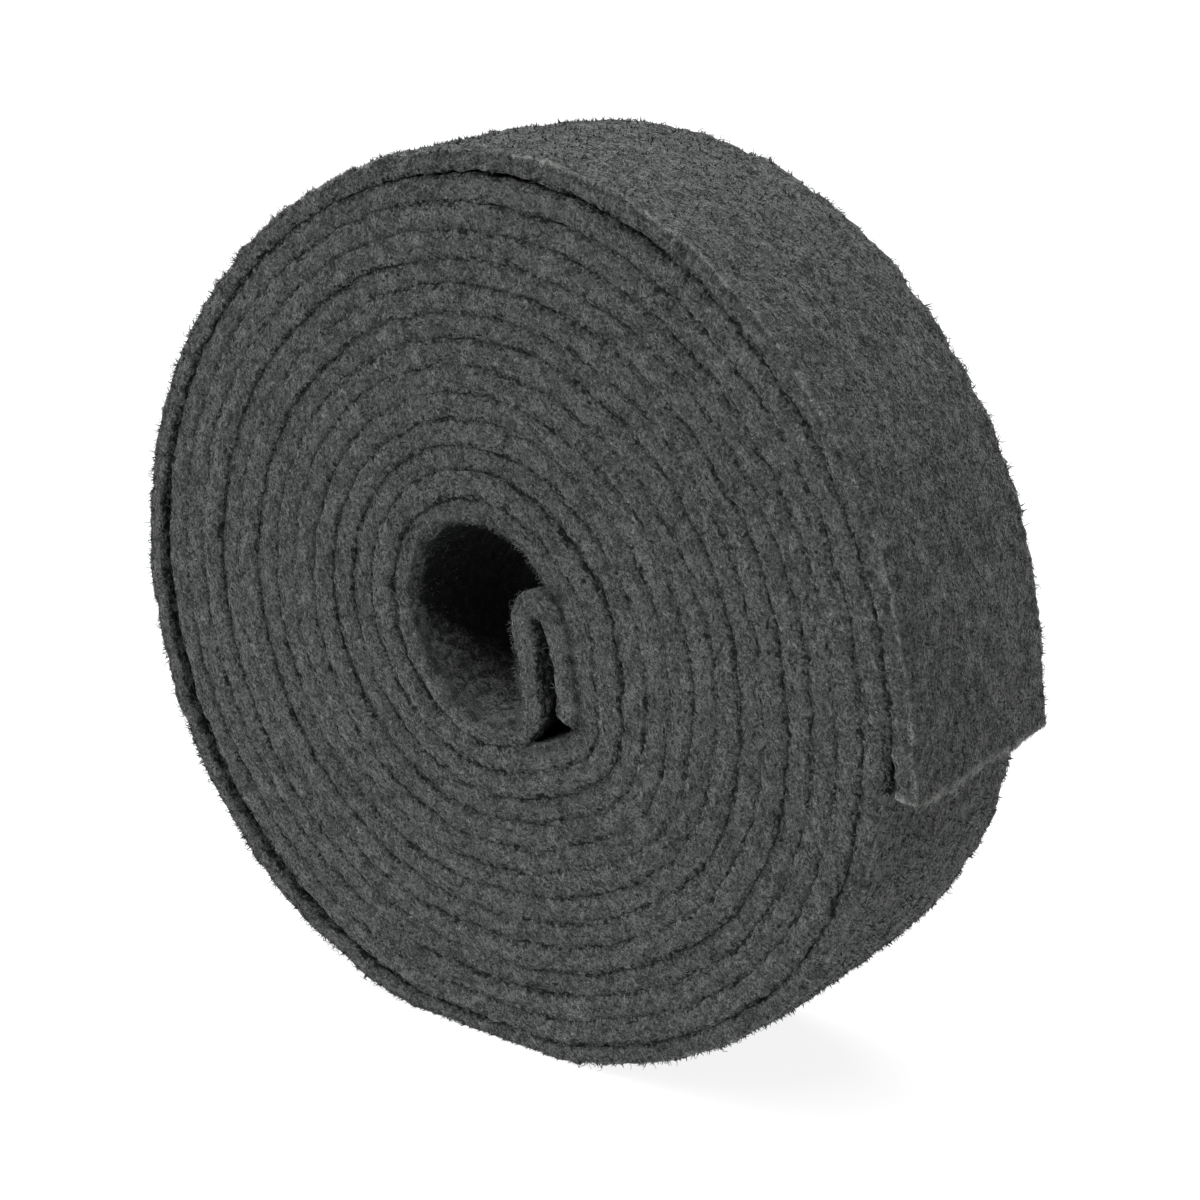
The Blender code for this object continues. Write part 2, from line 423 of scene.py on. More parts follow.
class Strip:
    """The whole winding as closely spaced pairs of points, to be read at any run."""

    def __init__(self):
        folded, spiral = folded_end_pairs(), spiral_pairs()
        self.pairs = np.concatenate((folded, spiral))
        self.runs = runs_of(self.pairs)
        self.spiral_runs = self.runs[len(folded):]
        self.length = self.runs[-1]

    def run_at(self, turn):
        """The run at a place on the winding."""
        turns = np.linspace(0.0, TURNS, len(self.spiral_runs))
        return float(np.interp(turn, turns, self.spiral_runs))

    def at(self, run):
        """Inner face, unit vector across, thickness and unit vector along, in (x, z)."""
        inner, outer = [
            np.stack([np.interp(run, self.runs, self.pairs[:, face, axis]) for axis in (0, 1)], axis=-1)
            for face in (0, 1)
        ]
        thickness = np.linalg.norm(outer - inner, axis=-1)
        across = (outer - inner) / thickness[..., None]
        along = np.stack((across[..., 1], -across[..., 0]), axis=-1)
        return inner, across, thickness, along


def corner_sizes(strip, run, seed):
    """How far one of the strip's worn corners is rounded at each run."""
    wavy = layered_noise(on_line(run), CORNER_WAVES, seed)
    share = np.clip(0.5 + CORNER_CONTRAST * wavy, 0.0, 1.0)
    worn = 1.0 + CORE_WORN * np.exp(-run / strip.run_at(CORE_WORN_TURNS))
    worn += RIM_WORN * (run > strip.run_at(TURNS - LOOSE_TURNS))
    return CORNER_LEAST + (CORNER_MOST * worn - CORNER_LEAST) * share ** CORNER_SKEW


def corner_point(size, edge, facing, end, angle):
    """A point on a rounded corner: depth, place over the width and the outward direction in both."""
    return (edge - facing * size * (1 - math.cos(angle)),
            end * (WEB_WIDTH / 2 - size * (1 - math.sin(angle))),
            facing * math.cos(angle), end * math.sin(angle))


def wall_points(start, end, facing, quads):
    """The points of a wall between two corners."""
    points = []
    for number in range(1, quads):
        depth, place = [between(start[part], end[part], number / quads) for part in (0, 1)]
        points.append((depth, place, facing, 0.0))
    return points


def section(strip, run, thickness, wall_quads):
    """The closed section at each run: depth into the strip and place over the width of each
    point, and the outward direction in both."""
    sizes = [corner_sizes(strip, run, SEED + CORNER_SEED_STEP * number) for number in range(4)]
    rows = []
    for end, (first, second) in ((-1.0, sizes[:2]), (1.0, sizes[2:])):
        row = [corner_point(first, 0.0, -1.0, end, angle) for angle in CORNER_ANGLES]
        for share in FACE_FRACTIONS:
            row.append((first + (thickness - first - second) * share, end * WEB_WIDTH / 2, 0.0, end))
        row += [corner_point(second, thickness, 1.0, end, angle) for angle in CORNER_ANGLES[::-1]]
        rows.append(row)
    front, back = rows
    ring = front + wall_points(front[-1], back[-1], 1.0, wall_quads)
    ring += back[::-1] + wall_points(back[0], front[0], -1.0, wall_quads)
    return [np.stack([np.broadcast_to(point[part], run.shape) for point in ring], axis=1)
            for part in range(4)]


def relief_at(places):
    """How far the surface stands out at places (run, depth, place over the width) on the strip."""
    return layered_noise(places, RELIEF, RELIEF_SEED)


def wandered(places, across):
    """Places shifted over the strip by one wavy field, so that neighbouring turns stay together."""
    return places + across * layered_noise(places, WANDER, WANDER_SEED)[:, None]


def telescoping_at(run):
    """How far the strip has slid along the roll's axis."""
    return layered_noise(on_line(run), TELESCOPING, TELESCOPING_SEED)


def face_crown(depth, thickness):
    """How far an end of the roll bulges at a depth into the strip."""
    return FACE_CROWN * (1.0 - (2.0 * depth / thickness - 1.0) ** 2)


def rim_crown(strip, run, place):
    """How far the outer turn bulges in the middle of its width, where nothing covers it."""
    uncovered = smooth_step((run - strip.run_at(TURNS - 1.0)) / RIM_CROWN_RISE)
    return RIM_CROWN * uncovered * (1.0 - np.abs(2.0 * place / WEB_WIDTH) ** CROWN_POWER)


def tail_bow(strip, run, place):
    """How far the tail's cut end bows out along the strip, near its front corner."""
    rise = smooth_step(1.0 - (strip.length - run[:, None]) / TAIL_BOW_RUN)
    return (rise * bump(TAIL_BOW, place - TAIL_BOW_PLACE, TAIL_BOW_WIDTH))[..., None]


def nearness(distance, reach):
    """A straight rise to 1 at no distance from 0 at the reach and beyond."""
    return np.clip(1.0 - distance / reach, 0.0, 1.0)


def painted_light_and_fray_at(strip, run, across, thickness, depth, place, out_depth):
    """Painted shade by how deep each point lies in a crevice, paler fraying with a painted highlight, and
    painted shade by how sheltered from light each point is.
    """
    run = run[:, None]
    rim = run >= strip.run_at(TURNS - 1.0)
    loose = run >= strip.run_at(TURNS - LOOSE_TURNS)
    core = run <= strip.run_at(1.0)
    near_core = run <= strip.run_at(CORE_CREVICE_TURNS)
    to_outer = thickness[:, None] - depth
    from_end = WEB_WIDTH / 2 - np.abs(place)

    # Painted shade in the crevices between the turns, stronger near the core and under the loose outer
    # turns.
    near_outer = np.where(rim, 0.0, nearness(to_outer, CREVICE_REACH)) * np.where(loose, RIM_CREVICE, 1.0)
    near_inner = np.where(core, 0.0, nearness(depth, CREVICE_REACH)) * np.where(rim, RIM_CREVICE, 1.0)
    crevice = np.maximum(near_outer, near_inner) * np.where(near_core, CORE_CREVICE, 1.0)

    # Paler fraying with a painted highlight along the outer turn's outer edges, strongest near the tail
    # and a turn before it, and at its cut end.
    to_tail = (strip.length - run) / (strip.length - strip.run_at(TURNS - 1.0))
    near_tail = bump(1.0, to_tail, FRAY_HIGHLIGHT_TURNS)
    near_tail = near_tail + bump(FRAY_HIGHLIGHT_TURN_BEFORE, to_tail - 1.0, FRAY_HIGHLIGHT_TURNS)
    edge = between(FRAY_HIGHLIGHT_LEAST, 1.0, near_tail) * nearness(np.maximum(to_outer, from_end), FRAY_HIGHLIGHT_REACH)
    cut = nearness(strip.length - run, FRAY_HIGHLIGHT_END_REACH)
    fray_and_highlight = np.where(rim, np.maximum(edge, cut), 0.0)

    # Painted shade on walls sheltered from light, deep in the core hole and between the turns; walls that
    # face up, towards the lamps, darken only further in.
    covered = (np.abs(out_depth) > WALL_FACING) & ~(rim & (out_depth > 0.0))
    facing_up = np.clip(out_depth * across[:, 1:], 0.0, 1.0)
    reach = between(SHELTER_REACH, LIT_SHELTER_REACH, facing_up)
    sheltered = np.where(covered, smooth_step(from_end / reach), 0.0)
    return np.stack((crevice, fray_and_highlight, sheltered), axis=-1)


def strip_grid(strip, start, end, step, wall_quads):
    """Rings of points round the strip, with their places on the strip, their painted shade,
    fraying and painted highlight, and the direction along the strip at each ring."""
    run = np.linspace(start, end, round((end - start) / step) + 1)
    run = np.sort(np.append(run, (start + END_STATION, end - END_STATION)))
    inner, across, thickness, along = strip.at(run)
    depth, place, out_depth, out_width = section(strip, run, thickness, wall_quads)
    painted_light_and_fray = painted_light_and_fray_at(strip, run, across, thickness, depth, place, out_depth)
    rings, points = depth.shape
    own = np.stack((np.repeat(run[:, None], points, axis=1), depth, place), axis=-1)
    relief = relief_at(own.reshape(-1, 3)).reshape(rings, points)
    crown = rim_crown(strip, run[:, None], place) * np.maximum(out_depth, 0.0)
    bulge = face_crown(depth, thickness[:, None])
    depth = depth + out_depth * (relief + WALL_PRESS) + crown
    place = place + out_width * (relief + bulge) + telescoping_at(run)[:, None]
    flat = inner[:, None, :] + across[:, None, :] * depth[..., None]
    world = np.stack((flat[..., 0], place, flat[..., 1]), axis=-1)
    across, along = in_space(across), in_space(along)
    world += along[:, None, :] * tail_bow(strip, run, place)
    world = wandered(world.reshape(-1, 3), np.repeat(across, points, axis=0))
    return world.reshape(rings, points, 3), own, painted_light_and_fray, along


def end_cap(world, own, painted_light_and_fray, along, wall_quads, crown, outward):
    """The inner points of a cut end, between the ring's inner and outer wall."""
    points, places, painted_lights_and_fray = [], [], []
    for number in range(1, wall_quads):
        inner, outer = ring_points(wall_quads) - number, FACE_QUADS + number
        for share in np.linspace(0.0, 1.0, FACE_QUADS + 1)[1:-1]:
            bulge = outward * crown * (1.0 - abs(2.0 * share - 1.0) ** CROWN_POWER)
            points.append(between(world[inner], world[outer], share) + bulge * along)
            places.append(between(own[inner], own[outer], share) + np.array((bulge, 0.0, 0.0)))
            # The cap keeps the ring's fraying and painted highlight, without painted shade.
            painted_lights_and_fray.append((0.0, painted_light_and_fray[outer, 1], 0.0))
    return [np.array(values).reshape(-1, 3) for values in (points, places, painted_lights_and_fray)]


def ring_points(wall_quads):
    """How many points a ring round the strip has."""
    return 2 * FACE_QUADS + 2 * wall_quads


def cap_quads(ring_start, cap_start, wall_quads, flipped):
    """The faces of a cut end, from the ring's points and the cap's own."""

    def index(row, column):
        if row == 0:
            return ring_start + column
        if row == wall_quads:
            return ring_start + 2 * FACE_QUADS + wall_quads - column
        if column == 0:
            return ring_start + ring_points(wall_quads) - row
        if column == FACE_QUADS:
            return ring_start + FACE_QUADS + row
        return cap_start + (row - 1) * (FACE_QUADS - 1) + column - 1

    quads = []
    for row in range(wall_quads):
        for column in range(FACE_QUADS):
            quad = [index(row + down, column + right) for down, right in ((0, 0), (0, 1), (1, 1), (1, 0))]
            quads.append(quad[::-1] if flipped else quad)
    return quads


def ring_quads(rings, points):
    """The faces between neighbouring rings."""
    ring = np.arange(rings - 1)[:, None] * points
    here = ring + np.arange(points)
    after = ring + (np.arange(points) + 1) % points
    return np.stack((here, after, points + after, points + here), axis=-1).reshape(-1, 4)


def strip_piece(strip, name, start, end, step, wall_quads, material, cut_start=0.0, cut_end=0.0):
    """A length of the strip as one closed mesh."""
    world, own, painted_light_and_fray, along = strip_grid(strip, start, end, step, wall_quads)
    rings, points = painted_light_and_fray.shape[:2]
    start_cap = end_cap(world[0], own[0], painted_light_and_fray[0], along[0], wall_quads, cut_start, -1.0)
    final_cap = end_cap(world[-1], own[-1], painted_light_and_fray[-1], along[-1], wall_quads, cut_end, 1.0)
    places, owns, painted_lights_and_fray = [np.concatenate((grid.reshape(-1, 3), start_cap[part], final_cap[part]))
                           for part, grid in enumerate((world, own, painted_light_and_fray))]
    quads = ring_quads(rings, points).tolist()
    quads += cap_quads(0, rings * points, wall_quads, False)
    quads += cap_quads((rings - 1) * points, rings * points + len(start_cap[0]), wall_quads, True)
    piece = make_piece(name, places, quads, material)
    store(piece.data, "on_strip", owns)
    # Painted shade in crevices and on sheltered walls, and fraying with a painted highlight, kept for the
    # material.
    store(piece.data, "painted_light_and_fray", painted_lights_and_fray)
    return piece


def store(mesh, name, vectors):
    """Keep a vector for each point of a mesh, for its material."""
    attribute = mesh.attributes.new(name, "FLOAT_VECTOR", "POINT")
    attribute.data.foreach_set("vector", vectors.astype(np.float32).reshape(-1))


def make_piece(name, places, faces, material):
    """A smooth piece of the roll, from places round the roll's axis."""
    places[:, 2] = np.maximum(places[:, 2] + axis_height(), FLOOR_CLEARANCE)
    mesh = bpy.data.meshes.new(name)
    mesh.from_pydata(places.tolist(), [], faces)
    mesh.shade_smooth()
    mesh.materials.append(material)
    piece = bpy.data.objects.new(name, mesh)
    bpy.context.scene.collection.objects.link(piece)
    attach(piece, "root")
    return piece


# Loose fibres and bristles


def strip_surface(strip, side, run, share):
    """Places on a side of the strip, with the directions out of it and along and over it.

    A share runs from the inner to the outer face on an end of the roll, and from the front to the
    back end on a face.
    """
    inner, across, thickness, along = strip.at(run)
    half = WEB_WIDTH / 2
    y_way = np.zeros((len(run), 3))
    y_way[:, 1] = 1.0
    across, along = in_space(across), in_space(along)
    if side in ("front", "back"):
        end = -1.0 if side == "front" else 1.0
        depth, place, out, over = thickness * share, end * half + 0.0 * run, end * y_way, across
        lift = face_crown(depth, thickness)
    else:
        face = 1.0 if side == "outer" else 0.0
        depth, place, out, over = thickness * face, (2 * share - 1) * half, (2 * face - 1) * across, y_way
        lift = WALL_PRESS
    lift = lift + relief_at(np.stack((run, depth, place), axis=1))
    if side == "outer":
        lift += rim_crown(strip, run, place)
    base = np.stack((inner[:, 0], place + telescoping_at(run), inner[:, 1]), axis=1)
    return wandered(base + across * depth[:, None] + out * lift[:, None], across), out, along, over


def fibre_paths(draws, surface, kind, segments=SHORT_FIBRE_SEGMENTS):
    """Bent centre lines of fibres that arch over a surface or stand off it with one end free."""
    root, out, along, over = surface
    count = len(root)
    heading = draws.normal(0.0, kind.spread, count) + math.pi * draws.integers(0, 2, count)
    lead = along * np.cos(heading)[:, None] + over * np.sin(heading)[:, None]
    side = np.cross(out, lead)
    reach = draws.uniform(*kind.length, count)[:, None]
    bend = reach * draws.normal(0.0, FIBRE_BEND, count)[:, None]
    height = draws.uniform(*kind.rise, count)[:, None]
    free = (draws.random(count) < kind.free_share)[:, None]
    paths = []
    for share in np.linspace(0.0, 1.0, segments + 1):
        climb = np.where(free, share ** FIBRE_CLIMB, math.sin(math.pi * share))
        paths.append(root + lead * reach * share + side * bend * math.sin(math.pi * share)
                     + out * (height * climb - FIBRE_SUNK))
    return np.stack(paths, axis=1)


def ways_round(side, up):
    """Three directions, evenly spaced in the plane of two that are square to each other."""
    angles = [math.tau * number / 3 for number in range(3)]
    return [side * math.cos(angle) + up * math.sin(angle) for angle in angles]


def fibre_piece(name, paths, radii, material):
    """Fibres as thin three-sided tubes that taper towards their tips."""
    count, points = paths.shape[:2]
    lead = np.gradient(paths, axis=1)
    lead /= np.linalg.norm(lead, axis=2)[..., None]
    side = np.cross(lead, NO_FIBRE_WAY)
    side /= np.linalg.norm(side, axis=2)[..., None]
    taper = np.linspace(1.0, FIBRE_TIP, points)[None, :, None] * radii[:, None, None]
    tubes = np.stack([paths + taper * way for way in ways_round(side, np.cross(lead, side))], axis=2)
    start = np.arange(count) * points * 3
    final = start + (points - 1) * 3
    ring = start[:, None, None] + np.arange(points - 1)[None, :, None] * 3
    here = ring + np.arange(3)
    after = ring + (np.arange(3) + 1) % 3
    faces = np.stack((here, after, after + 3, here + 3), axis=-1).reshape(-1, 4).tolist()
    faces += np.stack((start + 2, start + 1, start), axis=1).tolist()
    faces += np.stack((final, final + 1, final + 2), axis=1).tolist()
    make_piece(name, tubes.reshape(-1, 3), faces, material)


def face_fibres(strip, side, count, seed, material):
    """Short fibres that lie mostly along the winding on one end of the roll."""
    draws = np.random.default_rng(seed)
    run = draws.uniform(0.0, strip.length, count)
    surface = strip_surface(strip, side, run, draws.uniform(FACE_MARGIN, 1.0 - FACE_MARGIN, count))
    paths = fibre_paths(draws, surface, FACE_KIND)
    fibre_piece(f"{side}_fibres", paths, draws.uniform(*FACE_FIBRE_RADII, count), material)


def rim_fibres(strip, count, seed, material):
    """Fibres that lie in all directions on the outer turn."""
    draws = np.random.default_rng(seed)
    run = draws.uniform(strip.run_at(TURNS - FUZZY_TURNS), strip.length, count)
    surface = strip_surface(strip, "outer", run, draws.uniform(RIM_MARGIN, 1.0 - RIM_MARGIN, count))
    paths = fibre_paths(draws, surface, RIM_KIND)
    fibre_piece("rim_fibres", paths, draws.uniform(*RIM_FIBRE_RADII, count), material)


def rim_bristles(strip, seed, material):
    """Short broken fibre ends, as small spikes, that stand up from the outer turn and its edges."""
    draws = np.random.default_rng(seed)
    rim_from = strip.run_at(TURNS - FUZZY_TURNS)
    run = draws.uniform(rim_from, strip.length, RIM_BRISTLES)
    grounds = [strip_surface(strip, "outer", run, draws.random(RIM_BRISTLES))]
    for side in ("front", "back"):
        run = draws.uniform(rim_from, strip.length, EDGE_BRISTLES)
        share = 1.0 - BRISTLE_EDGE_SHARE * draws.random(EDGE_BRISTLES)
        grounds.append(strip_surface(strip, side, run, share))
    root, out, along, over = [np.concatenate(parts) for parts in zip(*grounds)]
    count = len(root)
    size = draws.random(count)[:, None] ** BRISTLE_SKEW
    height = between(BRISTLE_LEAST, BRISTLE_MOST, size)
    lean = draws.normal(0.0, BRISTLE_LEAN, (2, count))[..., None]
    tip = root + height * (out + lean[0] * along + lean[1] * over)
    radius = between(BRISTLE_LEAST_RADIUS, BRISTLE_MOST_RADIUS, size)
    foot = [root - FIBRE_SUNK * out + radius * way for way in ways_round(along, over)]
    places = np.stack((*foot, tip), axis=1).reshape(-1, 3)
    start = np.arange(count)[:, None, None] * 4
    faces = start + np.array(((0, 1, 3), (1, 2, 3), (2, 0, 3), (2, 1, 0)))
    make_piece("rim_bristles", places, faces.reshape(-1, 3).tolist(), material)


def edge_fibres(strip, seed, material):
    """Fuzz along the outer turn's two edges and the edges of the core hole."""
    draws = np.random.default_rng(seed)
    rim_from, core_to = strip.run_at(TURNS - FUZZY_TURNS), strip.run_at(1.0)
    groups = []

    def grow(side, run, share, kind):
        groups.append(fibre_paths(draws, strip_surface(strip, side, run, share), kind, FIBRE_SEGMENTS))

    for side, hole_fibres in (("front", FRONT_HOLE_FIBRES), ("back", BACK_HOLE_FIBRES)):
        run = draws.uniform(rim_from, strip.length, EDGE_FIBRES)
        grow(side, run, 1.0 - FACE_EDGE_SHARE * draws.random(EDGE_FIBRES) ** 2, FACE_EDGE_KIND)
        inset = RIM_EDGE_SHARE * draws.random(EDGE_FIBRES)
        grow("outer", run, inset if side == "front" else 1.0 - inset, RIM_EDGE_KIND)
        run = draws.uniform(0.0, core_to, hole_fibres)
        grow(side, run, HOLE_EDGE_SHARE * draws.random(hole_fibres) ** 2, HOLE_EDGE_KIND)
        inset = HOLE_WALL_SHARE * draws.random(hole_fibres) ** 3
        grow("inner", run, inset if side == "front" else 1.0 - inset, HOLE_WALL_KIND)
    paths = np.concatenate(groups)
    fibre_piece("edge_fibres", paths, draws.uniform(*EDGE_FIBRE_RADII, len(paths)), material)


def tail_fibres(strip, count, seed, material):
    """A pale fringe along the tail's cut end."""
    draws = np.random.default_rng(seed)
    run = strip.length - FRINGE_RUN * draws.random(count)
    root, out, along, over = strip_surface(strip, "outer", run, draws.random(count))
    root = root + along * tail_bow(strip, run, root[:, 1:2])[:, 0]
    paths = fibre_paths(draws, (root, out, along, over), TAIL_KIND)
    fibre_piece("tail_fibres", paths, draws.uniform(*TAIL_FIBRE_RADII, count), material)


# Materials


class Nodes:
    """Short calls for building a material's nodes."""

    def __init__(self, name):
        self.material = bpy.data.materials.new(name)
        self.material.use_nodes = True
        self.tree = self.material.node_tree
        self.shader = self.tree.nodes["Principled BSDF"]

    def node(self, kind, **settings):
        """A new node, with its settings."""
        node = self.tree.nodes.new(kind)
        for name, value in settings.items():
            setattr(node, name, value)
        return node

    def link(self, value, socket):
        """Give a socket another socket's value or a constant."""
        if isinstance(value, bpy.types.NodeSocket):
            self.tree.links.new(value, socket)
        else:
            socket.default_value = value

    def attribute(self, name):
        """A vector that each point of the mesh keeps."""
        return self.node("ShaderNodeAttribute", attribute_name=name).outputs["Vector"]

    def parts(self, vector):
        """The three parts of a vector."""
        node = self.node("ShaderNodeSeparateXYZ")
        self.link(vector, node.inputs[0])
        return node.outputs

    def object_place(self):
        """The place in the object's own coordinates."""
        return self.node("ShaderNodeTexCoord").outputs["Object"]

    def stretched(self, vector, scale):
        """A vector with each of its parts scaled."""
        node = self.node("ShaderNodeVectorMath", operation="MULTIPLY")
        self.link(vector, node.inputs[0])
        node.inputs[1].default_value = scale
        return node.outputs[0]

    def noise(self, vector, scale, detail, roughness, distortion=0.0):
        """Noise from 0 to 1 with so many features a metre."""
        node = self.node("ShaderNodeTexNoise")
        self.link(vector, node.inputs["Vector"])
        node.inputs["Scale"].default_value = scale
        node.inputs["Detail"].default_value = detail
        node.inputs["Roughness"].default_value = roughness
        node.inputs["Distortion"].default_value = distortion
        return node.outputs["Fac"]

    def ramp(self, value, low, high, start=0.0, end=1.0):
        """A smooth change from start to end as a value goes from low to high."""
        node = self.node("ShaderNodeMapRange", interpolation_type="SMOOTHSTEP")
        self.link(value, node.inputs["Value"])
        for socket, number in (("From Min", low), ("From Max", high), ("To Min", start), ("To Max", end)):
            node.inputs[socket].default_value = number
        return node.outputs["Result"]

    def math(self, operation, first, second=0.0):
        """One sum on one or two values."""
        node = self.node("ShaderNodeMath", operation=operation)
        self.link(first, node.inputs[0])
        self.link(second, node.inputs[1])
        return node.outputs[0]

    def product(self, first, *others):
        """The product of several values."""
        for other in others:
            first = self.math("MULTIPLY", first, other)
        return first

    def mix(self, share, first, second):
        """A colour a share of the way from one to another."""
        node = self.node("ShaderNodeMix", data_type="RGBA", clamp_factor=False)
        self.link(share, node.inputs["Factor"])
        self.link(first, node.inputs[6])
        self.link(second, node.inputs[7])
        return node.outputs[2]

    def bump(self, height, strength, distance, normal=None):
        """The surface's direction, roughened by a height."""
        node = self.node("ShaderNodeBump")
        node.inputs["Strength"].default_value = strength
        node.inputs["Distance"].default_value = distance
        self.link(height, node.inputs["Height"])
        if normal is not None:
            self.link(normal, node.inputs["Normal"])
        return node.outputs["Normal"]


WHITE = (1.0, 1.0, 1.0, 1.0)
WEB_COLOUR = (0.0530, 0.0564, 0.0550, 1.0)
# The web's tone, its painted shade included, mixes its colour towards this dark.
DARK_COLOUR = (0.006, 0.007, 0.007, 1.0)
STRAND_COLOUR = (0.160, 0.170, 0.165, 1.0)
# Paler fraying with a painted highlight along the outer turn's edges and cut end.
FRAY_HIGHLIGHT_COLOUR = (0.300, 0.310, 0.295, 1.0)
FRINGE_COLOUR = (0.380, 0.390, 0.370, 1.0)
FIBRE_COLOUR = (0.130, 0.138, 0.134, 1.0)
DARK_FIBRE_COLOUR = (0.030, 0.033, 0.033, 1.0)

# Each noise: features a metre, detail, roughness and distortion
LUMP_NOISE = (330.0, 2.0, 0.6, 0.3)
# The pit noise places painted shade in the web's pits.
PIT_NOISE = (700.0, 1.0, 0.6, 0.6)
SPECK_NOISE = (950.0, 1.5, 0.75, 0.5)
MOTTLE_NOISE = (90.0, 3.0, 0.6)
PATCH_NOISE = (190.0, 1.0, 0.5)
BREAK_NOISE = (150.0, 2.0, 0.6, 0.4)
FLECK_NOISE = (250.0, 2.0, 0.7)
COARSE_STRAND_NOISE = (330.0, 1.0, 0.5, 1.2)
FINE_STRAND_NOISE = (640.0, 1.0, 0.5, 1.2)
SHADE_NOISE = (210.0, 2.0, 0.6)
GRIT_NOISE = (2600.0, 1.0, 0.5)

# Each ramp: where a value starts and ends, and what it then gives
LUMP_TONE = (0.3, 0.7, 0.74, 1.26)
SPECK_TONE = (0.32, 0.68, 0.45, 1.5)
MOTTLE_TONE = (0.3, 0.7, 0.86, 1.12)
PATCH_TONE = (0.34, 0.66, 0.87, 1.13)
# Painted shade: in pits, in crevices where breaks leave them open, and on sheltered walls.
BREAK_DEPTH = (0.42, 0.64, 0.15, 0.85)
HOLLOW_PAINTED_SHADE = (0.3, 1.1, 1.0, 0.12)
CREVICE_PAINTED_SHADE = (0.0, 1.0, 1.0, 0.8)
SHELTER_PAINTED_SHADE = (0.0, 1.0, 1.0, 0.10)
FLECK_TONE = (0.38, 0.62, -0.5, 0.65)
FLECKS_WITHIN = (0.0, 0.05)
# How the speck breaks up the fraying and painted highlight.
FRAY_HIGHLIGHT_SPECKS = (0.32, 0.6, 0.55, 1.0)
WEB_ROUGHNESS = (0.3, 0.7, 0.86, 1.0)
WEB_SHEEN = (0.1, 1.3, 0.0, 0.35)
FIBRE_SHADE = (0.36, 0.62)
FIBRE_GRIT = (0.35, 0.6, 0.55, 1.0)
FIBRE_ROUGHNESS = (0.0, 1.0, 0.95, 0.75)

STREAKS = (0.6, 1.0, 1.0)
COARSE_STRAND_WIDTH = 0.05
FINE_STRAND_WIDTH = 0.06
STRAND_SHARE = 0.45
STRAND_HEIGHT = 0.2
PIT_DEPTH = 3.8
LUMP_BUMP = 0.0018
SPECK_BUMP = 0.0011
WEB_SPECULAR = 0.1
SHEEN_ROUGHNESS = 0.5
GRIT_BUMP_STRENGTH = 0.5
GRIT_BUMP = 0.0002
FIBRE_SPECULAR = 0.25


def strands(nodes, place, noise, width):
    """Thin wandering lines, as of fibres that lie on the surface."""
    wander = nodes.noise(place, *noise)
    off_middle = nodes.math("ABSOLUTE", nodes.math("SUBTRACT", wander, 0.5))
    return nodes.ramp(off_middle, 0.0, width, 1.0, 0.0)


def web_material():
    """A felted web of coated fibres: pale strands, slow changes of tone, painted shade in pits, crevices
    and the core hole, and paler fraying with a painted highlight at the outer turn's edges.
    """
    nodes = Nodes("scuffed_web")
    place = nodes.attribute("on_strip")
    # Painted shade in crevices and on sheltered walls, and fraying with a painted highlight.
    crevice, fray_and_highlight, sheltered = nodes.parts(nodes.attribute("painted_light_and_fray"))
    streaked = nodes.stretched(place, STREAKS)
    lumps = nodes.noise(streaked, *LUMP_NOISE)
    pits = nodes.noise(streaked, *PIT_NOISE)
    speck = nodes.noise(place, *SPECK_NOISE)
    mottle = nodes.noise(place, *MOTTLE_NOISE)
    patches = nodes.noise(place, *PATCH_NOISE)
    breaks = nodes.noise(place, *BREAK_NOISE)
    lines = nodes.math("MAXIMUM", strands(nodes, place, COARSE_STRAND_NOISE, COARSE_STRAND_WIDTH),
                       strands(nodes, place, FINE_STRAND_NOISE, FINE_STRAND_WIDTH))

    # Painted shade in the pits and, where the breaks leave them open, in the crevices.
    open_crevice = nodes.product(crevice, nodes.ramp(breaks, *BREAK_DEPTH))
    pitted = nodes.product(nodes.math("SUBTRACT", 0.5, pits), PIT_DEPTH)
    hollow = nodes.math("ADD", open_crevice, pitted)
    flecks = nodes.ramp(nodes.noise(place, *FLECK_NOISE), *FLECK_TONE)
    within = nodes.product(nodes.ramp(sheltered, *FLECKS_WITHIN), flecks)
    # Random lumps, specks, mottle and patches, with painted shade in pits, crevices and sheltered walls.
    tone = nodes.product(
        nodes.ramp(lumps, *LUMP_TONE), nodes.ramp(speck, *SPECK_TONE), nodes.ramp(mottle, *MOTTLE_TONE),
        nodes.ramp(patches, *PATCH_TONE), nodes.ramp(hollow, *HOLLOW_PAINTED_SHADE),
        nodes.ramp(crevice, *CREVICE_PAINTED_SHADE), nodes.ramp(sheltered, *SHELTER_PAINTED_SHADE),
        nodes.math("ADD", within, 1.0),
    )

    colour = nodes.mix(nodes.product(lines, STRAND_SHARE), WEB_COLOUR, STRAND_COLOUR)
    colour = nodes.mix(tone, DARK_COLOUR, colour)
    # Paler fraying with a painted highlight along the outer turn's edges and cut end, broken up by the
    # speck.
    colour = nodes.mix(nodes.product(fray_and_highlight, nodes.ramp(speck, *FRAY_HIGHLIGHT_SPECKS)), colour, FRAY_HIGHLIGHT_COLOUR)
    nodes.link(colour, nodes.shader.inputs["Base Color"])
    height = nodes.math("ADD", lumps, nodes.product(lines, STRAND_HEIGHT))
    normal = nodes.bump(height, 1.0, LUMP_BUMP)
    normal = nodes.bump(speck, 1.0, SPECK_BUMP, normal)
    nodes.link(normal, nodes.shader.inputs["Normal"])
    nodes.link(nodes.ramp(mottle, *WEB_ROUGHNESS), nodes.shader.inputs["Roughness"])
    nodes.link(nodes.ramp(tone, *WEB_SHEEN), nodes.shader.inputs["Sheen Weight"])
    nodes.shader.inputs["Specular IOR Level"].default_value = WEB_SPECULAR
    nodes.shader.inputs["Sheen Roughness"].default_value = SHEEN_ROUGHNESS
    return nodes.material


